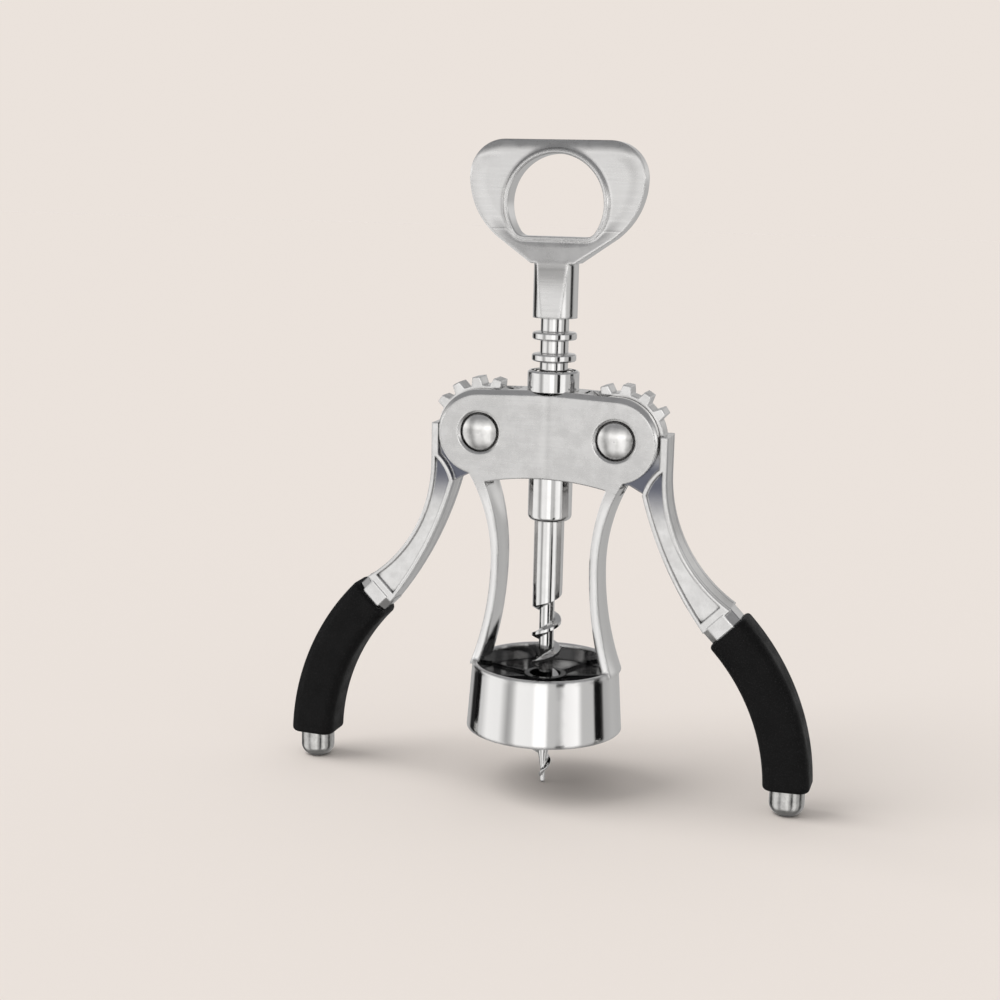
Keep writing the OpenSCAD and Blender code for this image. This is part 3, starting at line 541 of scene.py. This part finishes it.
def opener_material():
    """Satin, dished faces inside a polished outer edge, with painted shade on a scoop at the top of the
    stem.
    """
    material, tree, shader = metal("opener_casting")
    skin = place_group(tree, cast_skin, Pit_scale=2800.0, Cloud_scale=210.0, Rub=(70.0, 70.0, 1300.0))
    clouds, rubs = skin.outputs["Clouds"], skin.outputs["Rubs"]
    edge = place_group(tree, soft_edge, Radius=opener_edge)
    own = add(tree, "ShaderNodeTexCoord").outputs
    across = calc(tree, "ABSOLUTE", along(tree, own["Object"], "X"))
    height = along(tree, own["Object"], "Z")
    flat = fade(tree, calc(tree, "ABSOLUTE", along(tree, own["Normal"], "Y")), 0.8, 0.97)
    satin = calc(tree, "MULTIPLY", flat, calc(tree, "SUBTRACT", 1.0, edge.outputs["Edge"]), clamp=True)
    # Painted shade: the top of the stem is darkened where a scoop would lie in shadow.
    scoop_painted_shade = band(tree, height, scoop_start, head_foot - scoop_fade,
                 head_foot - scoop_fade, head_foot + scoop_fade, most=scoop_shade)
    clouded = blend_colours(tree, vary(tree, clouds), dimmed(satin_grey, 0.86), satin_grey)
    clouded = blend_colours(tree, scoop_painted_shade, clouded, painted_shade_dark)
    colour = blend_colours(tree, satin, mirror_grey, clouded)
    satin_rough = calc(tree, "ADD", vary(tree, clouds, 0.24, 0.36), vary(tree, rubs, -0.03, 0.04))
    rough = blend_values(tree, satin, vary(tree, clouds, 0.06, 0.12), satin_rough)
    form = calc(tree, "MULTIPLY", opener_form(tree, across, height), flat)
    formed = relief(tree, form, 1.0, Normal=edge.outputs["Normal"])
    finish_metal(tree, shader, colour, rough, skin, opener_depth, formed)
    return material


finish_nodes(opener_material(), "opener")


# ---------------------------------------------------------------- floor, light and camera
# A plain pale floor in a pale room, an even soft light from the left, and the room's uprights,
# bright windows and dark frames, which are seen as reflections only.

pale = (0.83, 0.765, 0.715)
# How much of the light on a level surface comes from the lamp, and how much from the room.
lamp_share, room_share = 0.4, 0.6
floor_z, floor_size = -17.4 * MM, 12.0
# The lamp's level heading and its reach, its height over the floor, and how wide it is.
lamp_heading, lamp_reach = (1.0, 0.35), 1.06
lamp_height, lamp_width = math.radians(48.0), math.radians(50.0)
camera_place, camera_lens = (0.1214, -0.4421, 0.1527), 59.85
camera_turn, camera_dip, camera_roll = math.radians(17.11), math.radians(10.79), math.radians(1.27)

# The compass direction of each edge of the room's uprights, in degrees, and the brightness there.
room_uprights = [(-180.0, 0.70), (-168.0, 0.95), (-145.0, 0.92), (-131.0, 0.38), (-125.0, 0.50),
                 (-116.0, 0.98), (-92.0, 0.95), (-89.0, 1.20), (-72.0, 1.20), (-69.0, 0.60),
                 (-52.0, 0.55), (-45.0, 0.95), (-24.0, 1.10), (-16.0, 0.55), (4.0, 0.55),
                 (8.0, 0.03), (22.0, 0.02), (27.0, 0.42), (48.0, 0.50), (70.0, 0.46),
                 (107.0, 0.44), (138.0, 0.42), (146.0, 0.02), (168.0, 0.02), (172.0, 0.65)]
room_tint = (1.0, 0.99, 0.98)
# Directions over which one thin dark frame comes in and goes out again.
thin_frame = [math.radians(degrees) for degrees in (-58.0, -56.0, -45.0, -43.0)]
# Rises, from -1 straight down to 1 straight up. The thin frame has a gap a little below eye level,
# where the bell and the collar would mirror it. A strip of window just above eye level is brighter.
gap_start, gap_end = (-0.21, -0.195), (-0.15, -0.135)
window_strip, strip_glow = (-0.06, 0.06, 0.12, 0.26), 0.4
ceiling_rise, ground_rise = (0.14, 0.55), (-0.85, -0.5)
frame_colour, ceiling_colour, ground_colour = (0.02, 0.02, 0.02), (0.30, 0.30, 0.305), (0.24, 0.235, 0.23)


def floor_material():
    """Matt and pale. Reflections look through it into the room, as past the edge of a table."""
    material, tree, shader = new_material("pale_floor")
    shader.inputs["Base Color"].default_value = (*pale, 1.0)
    shader.inputs["Roughness"].default_value = 0.5
    shader.inputs["Specular IOR Level"].default_value = 0.0
    mirrored = add(tree, "ShaderNodeLightPath").outputs["Is Glossy Ray"]
    clear = add(tree, "ShaderNodeBsdfTransparent").outputs[0]
    seen = add(tree, "ShaderNodeMixShader", sockets={0: mirrored, 1: shader.outputs[0], 2: clear}).outputs[0]
    tree.links.new(seen, tree.nodes["Material Output"].inputs["Surface"])
    return material


def uprights_ramp(tree, turn):
    """The brightness of the room's uprights all round."""
    share = add(tree, "ShaderNodeMapRange",
                sockets={"Value": turn, "From Min": -math.pi, "From Max": math.pi}).outputs[0]
    ramp = add(tree, "ShaderNodeValToRGB", sockets={0: share})
    stops = ramp.color_ramp.elements
    while len(stops) > 1:
        stops.remove(stops[-1])
    for number, (degrees, level) in enumerate(room_uprights):
        position = degrees / 360.0 + 0.5
        stop = stops[0] if number == 0 else stops.new(position)
        stop.position = position
        stop.color = (*dimmed(room_tint, level), 1.0)
    return ramp.outputs[0]


def room():
    """The world: plain light on the object, a pale wall to the eye, and the room in reflections."""
    world = bpy.data.worlds.new("room")
    world.use_nodes = True
    tree = world.node_tree
    away = add(tree, "ShaderNodeTexCoord").outputs["Generated"]
    turn = calc(tree, "ARCTAN2", along(tree, away, "Y"), along(tree, away, "X"))
    rise = along(tree, away, "Z")
    unbroken = calc(tree, "MAXIMUM", fade(tree, rise, *gap_end), fade(tree, rise, *gap_start, 1.0, 0.0))
    thin = calc(tree, "MULTIPLY", band(tree, turn, *thin_frame), unbroken)
    uprights = blend_colours(tree, thin, uprights_ramp(tree, turn), frame_colour)
    glow = calc(tree, "ADD", band(tree, rise, *window_strip, most=strip_glow), 1.0)
    uprights = add(tree, "ShaderNodeVectorMath", operation="SCALE",
                   sockets={0: uprights, "Scale": glow}).outputs["Vector"]
    mirrored = blend_colours(tree, fade(tree, rise, *ceiling_rise), uprights, ceiling_colour)
    mirrored = blend_colours(tree, fade(tree, rise, *ground_rise, 1.0, 0.0), mirrored, ground_colour)
    path = add(tree, "ShaderNodeLightPath").outputs
    sharp = calc(tree, "MAXIMUM", path["Is Glossy Ray"], path["Is Transmission Ray"])
    seen = blend_colours(tree, sharp, (room_share,) * 3, mirrored)
    seen = blend_colours(tree, path["Is Camera Ray"], seen, pale)
    tree.links.new(seen, tree.nodes["Background"].inputs["Color"])
    return world


bpy.ops.object.select_all(action="DESELECT")
bpy.ops.mesh.primitive_plane_add(size=floor_size, location=(0.0, 0.0, floor_z))
floor = bpy.context.object
floor.name = "floor"
floor.data.materials.append(floor_material())

lamp = bpy.data.objects.new("soft_window", bpy.data.lights.new("soft_window", "SUN"))
lamp.data.energy = lamp_share * math.pi / math.sin(lamp_height)
lamp.data.angle = lamp_width
lamp_way = Vector((*lamp_heading, -lamp_reach * math.tan(lamp_height)))
lamp.rotation_euler = lamp_way.to_track_quat("-Z", "Y").to_euler()
lamp.visible_glossy = False
bpy.context.scene.collection.objects.link(lamp)

camera = bpy.data.objects.new("photo_camera", bpy.data.cameras.new("photo_camera"))
camera.data.sensor_width, camera.data.lens, camera.data.clip_start = 36.0, camera_lens, 0.01
camera.matrix_world = (Matrix.Translation(camera_place) @ Matrix.Rotation(camera_turn, 4, "Z")
                       @ Matrix.Rotation(math.pi / 2 - camera_dip, 4, "X")
                       @ Matrix.Rotation(camera_roll, 4, "Z"))
bpy.context.scene.collection.objects.link(camera)

bpy.context.scene.world = room()
bpy.context.scene.camera = camera
bpy.context.scene.view_settings.view_transform = "Standard"
